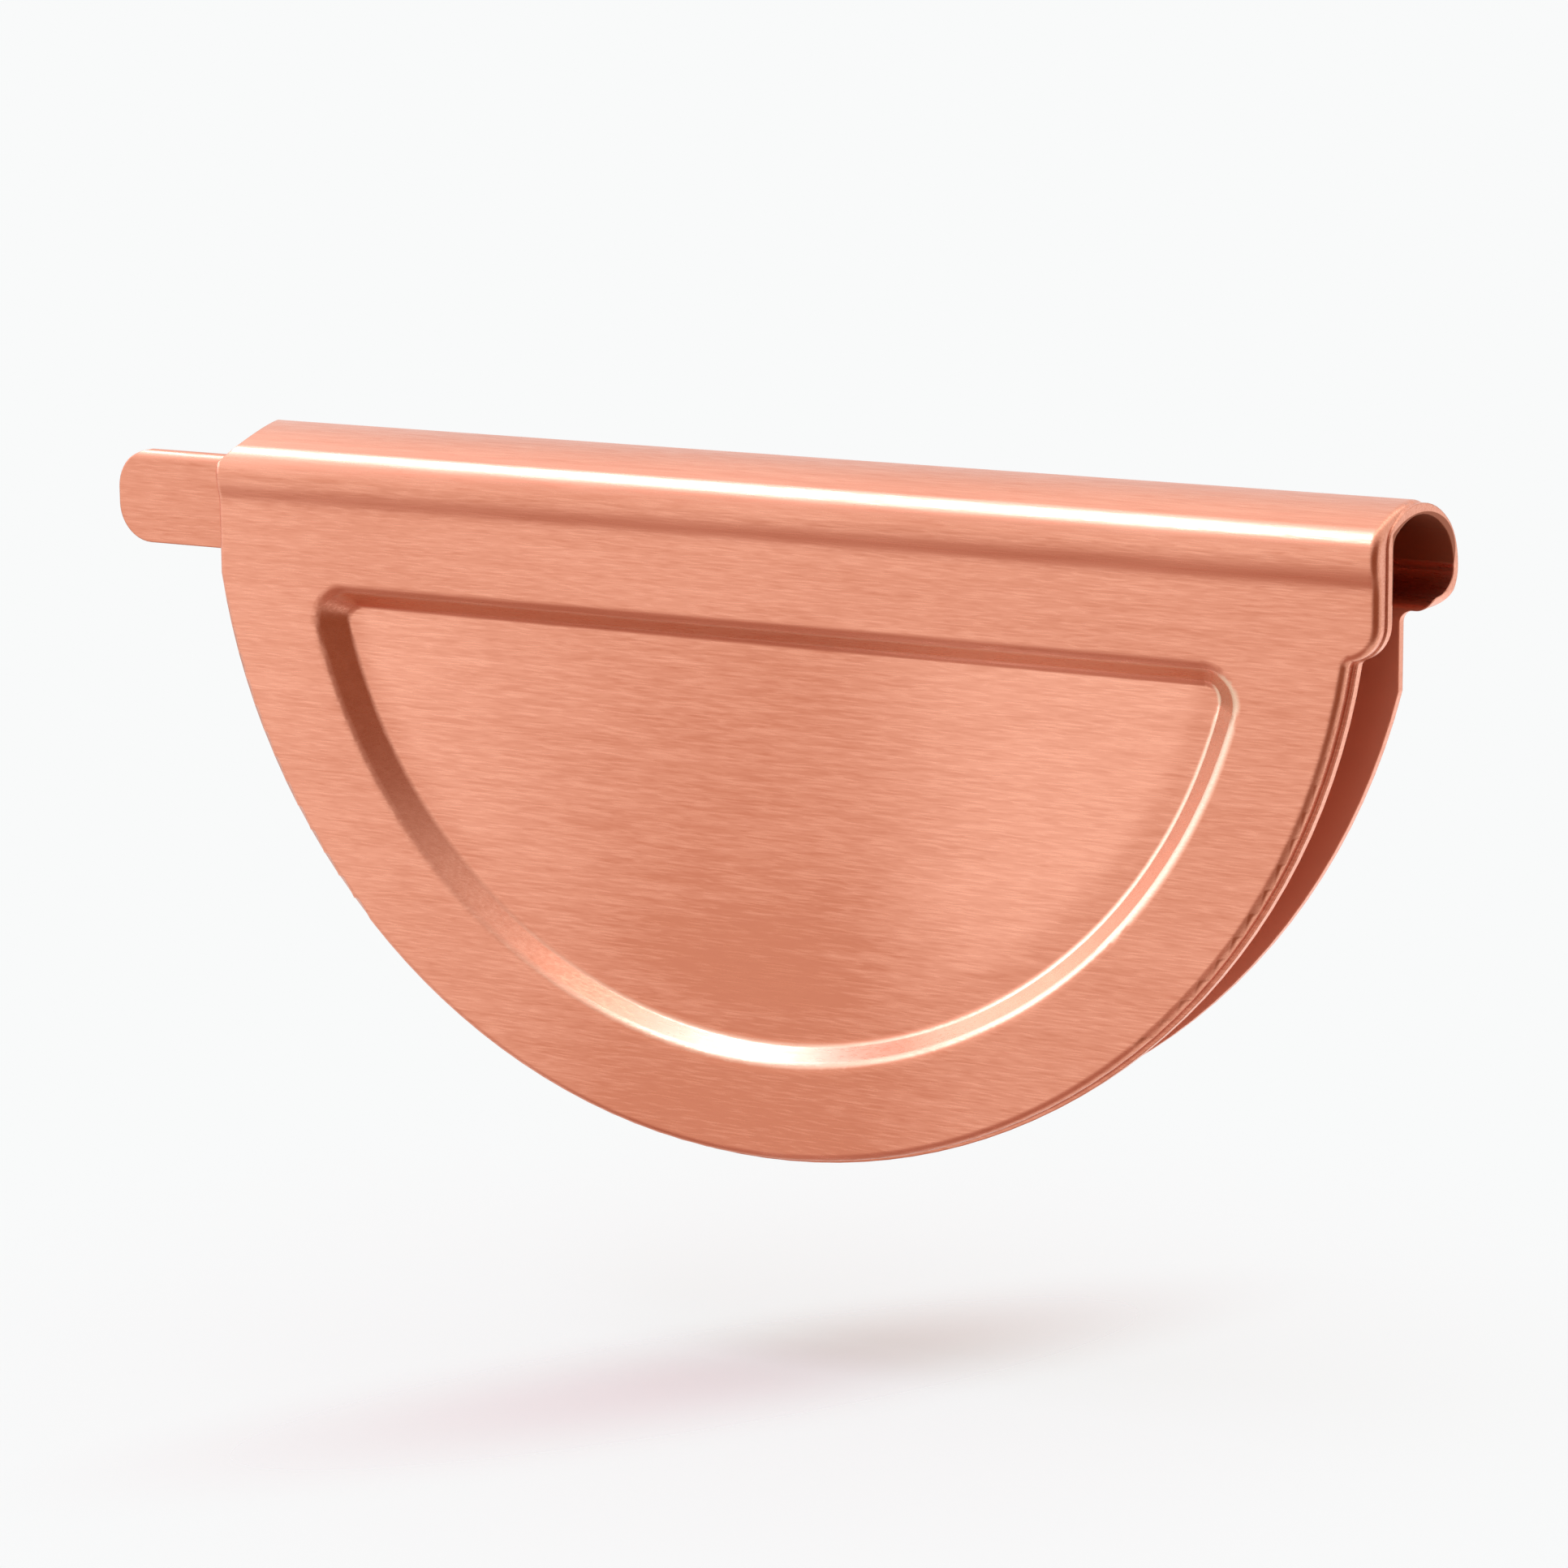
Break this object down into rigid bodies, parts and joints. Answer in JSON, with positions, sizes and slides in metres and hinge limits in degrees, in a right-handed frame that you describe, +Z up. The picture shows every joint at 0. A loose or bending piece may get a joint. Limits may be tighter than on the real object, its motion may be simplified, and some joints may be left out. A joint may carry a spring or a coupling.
{
  "type": "gutter end cap",
  "caption": "Copper end cap for a half-round gutter, with a pressed half-round panel, a rolled tube along the top edge and a flat tab.",
  "frame": {"origin": "centre of the half-round rim, on the front of its flat lip, where the cap meets the end of the gutter", "axes": "+X along the top edge towards the open tube end, +Y into the cap from its front face, +Z up"},
  "size_m": [0.1415, 0.018, 0.0682],
  "materials": {
    "copper": "satin, brushed along the width"
  },
  "bodies": {
    "root": {"end_cap": "copper"}
  },
  "joints": []
}
